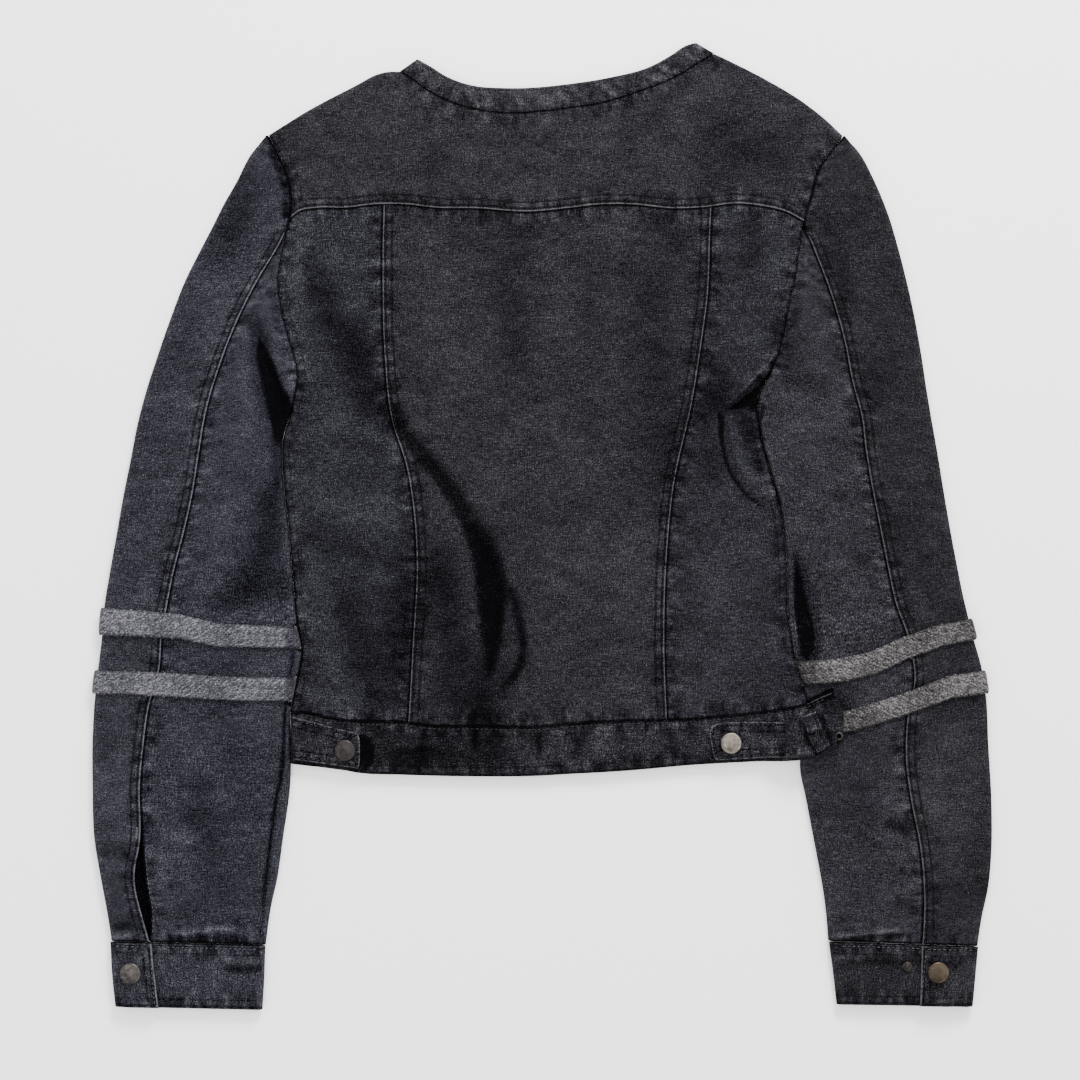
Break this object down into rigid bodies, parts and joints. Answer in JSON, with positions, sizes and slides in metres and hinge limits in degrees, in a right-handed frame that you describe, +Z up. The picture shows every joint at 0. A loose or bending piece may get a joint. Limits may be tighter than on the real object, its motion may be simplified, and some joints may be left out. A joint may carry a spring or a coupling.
{
  "type": "denim jacket",
  "caption": "Cropped collarless denim jacket laid flat face down, with yoke, seamed back, knit bands round the sleeves, buttoned cuffs and waist tabs.",
  "frame": {"origin": "on the floor under the middle of the laid jacket's outline", "axes": "+Z up from the floor, with the jacket's back facing up; +Y towards the neck; +X towards the wearer's right sleeve"},
  "size_m": [0.6286, 0.6752, 0.0197],
  "materials": {
    "back_yoke": "grey-washed denim",
    "back_centre": "grey-washed denim",
    "back_side_left": "grey-washed denim",
    "back_side_right": "grey-washed denim",
    "front_left": "grey-washed denim",
    "front_right": "grey-washed denim",
    "top_sleeve_left": "grey-washed denim",
    "top_sleeve_right": "grey-washed denim",
    "under_sleeve_left": "grey-washed denim",
    "under_sleeve_right": "grey-washed denim",
    "knit_band_upper_left": "melange rib knit",
    "knit_band_lower_left": "melange rib knit",
    "knit_band_upper_right": "melange rib knit",
    "knit_band_lower_right": "melange rib knit",
    "cuff_left": "grey-washed denim, folded",
    "cuff_right": "grey-washed denim, folded",
    "neckband_back": "grey-washed denim, folded",
    "neckband_front_left": "grey-washed denim, folded",
    "neckband_front_right": "grey-washed denim, folded",
    "waistband_back": "grey-washed denim, folded",
    "waistband_front_left": "grey-washed denim, folded",
    "waistband_front_right": "grey-washed denim, folded",
    "waist_tab_left": "grey-washed denim, folded",
    "waist_tab_right": "grey-washed denim, folded",
    "belt_loop_right": "grey-washed denim, folded",
    "waist_button_left": "brushed nickel",
    "waist_button_right": "brushed nickel",
    "cuff_button_left": "brushed nickel",
    "cuff_button_right": "brushed nickel",
    "cuff_snap_right": "brushed nickel",
    "waist_eyelet_right": "brushed nickel"
  },
  "bodies": {
    "root": {"back_yoke": "back_yoke", "back_centre": "back_centre", "back_side_left": "back_side_left", "back_side_right": "back_side_right", "front_left": "front_left", "front_right": "front_right", "top_sleeve_left": "top_sleeve_left", "top_sleeve_right": "top_sleeve_right", "under_sleeve_left": "under_sleeve_left", "under_sleeve_right": "under_sleeve_right", "knit_band_upper_left": "knit_band_upper_left", "knit_band_lower_left": "knit_band_lower_left", "knit_band_upper_right": "knit_band_upper_right", "knit_band_lower_right": "knit_band_lower_right", "cuff_left": "cuff_left", "cuff_right": "cuff_right", "neckband_back": "neckband_back", "neckband_front_left": "neckband_front_left", "neckband_front_right": "neckband_front_right", "waistband_back": "waistband_back", "waistband_front_left": "waistband_front_left", "waistband_front_right": "waistband_front_right", "waist_tab_left": "waist_tab_left", "waist_tab_right": "waist_tab_right", "belt_loop_right": "belt_loop_right", "waist_button_left": "waist_button_left", "waist_button_right": "waist_button_right", "cuff_button_left": "cuff_button_left", "cuff_button_right": "cuff_button_right", "cuff_snap_right": "cuff_snap_right", "waist_eyelet_right": "waist_eyelet_right"}
  },
  "joints": []
}
